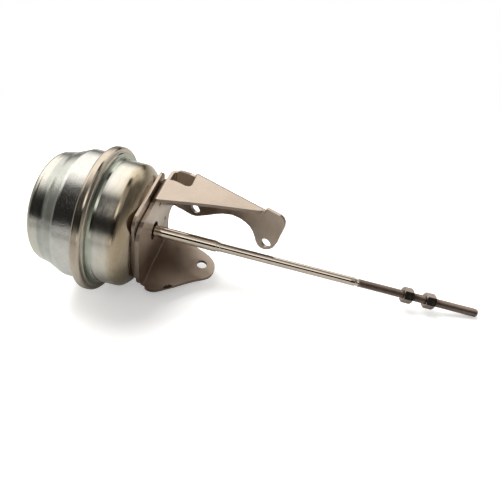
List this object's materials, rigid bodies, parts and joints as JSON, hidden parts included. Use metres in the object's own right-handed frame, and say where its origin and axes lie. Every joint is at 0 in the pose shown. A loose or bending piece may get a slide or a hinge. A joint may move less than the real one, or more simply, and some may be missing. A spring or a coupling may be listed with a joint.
{
  "type": "wastegate actuator",
  "caption": "Vacuum actuator with a crimped two-shell can, a folded mounting bracket and a stepped rod with a threaded end and hexagon nuts.",
  "frame": {"origin": "on the rod axis, midway between the two nuts, where the lever plate is clamped (rod at rest, fully out)", "axes": "+Z along the rod towards its threaded tip, +X towards the bracket's lower tab, +Y towards the bracket's arm"},
  "size_m": [0.0824, 0.0824, 0.2473],
  "materials": {
    "shell_zinc": "bright zinc plating, faint green and yellow cast",
    "bracket_steel": "satin pressed sheet",
    "rod_steel": "polished shank, dull thread",
    "nut_steel": "dull dark plating",
    "nipple_steel": "bright zinc plating",
    "braze": "brazing filler",
    "inner_steel": "plain pressed sheet",
    "spring_steel": "oiled spring wire",
    "bronze": "sintered bronze",
    "rubber": "moulded rubber"
  },
  "bodies": {
    "can": {"rear_shell": "shell_zinc", "front_shell": "shell_zinc", "hose_nipple": "nipple_steel", "nipple_clamp_ring": "braze", "diaphragm": "rubber", "spring_seat": "inner_steel", "return_spring": "spring_steel", "bush_housing": "inner_steel", "guide_bush": "bronze", "bush_stop_ring": "inner_steel", "rod_seal": "rubber", "stop_bumper": "rubber", "backing_plate": "bracket_steel", "spacer_pads": "bracket_steel", "bracket": "bracket_steel"},
    "rod": {"rod": "rod_steel", "piston_cup": "inner_steel", "retainer_plate": "inner_steel", "rod_washer": "inner_steel", "adjusting_nut": "nut_steel", "lock_nut": "nut_steel"}
  },
  "joints": [
    {"name": "rod_slide", "type": "slide", "parent": "can", "child": "rod", "axis": [0, 0, 1], "range_m": [-0.012, 0], "stiffness_N_per_m": 1400, "springref_m": 0.004, "deforming": ["return_spring", "diaphragm"]}
  ]
}
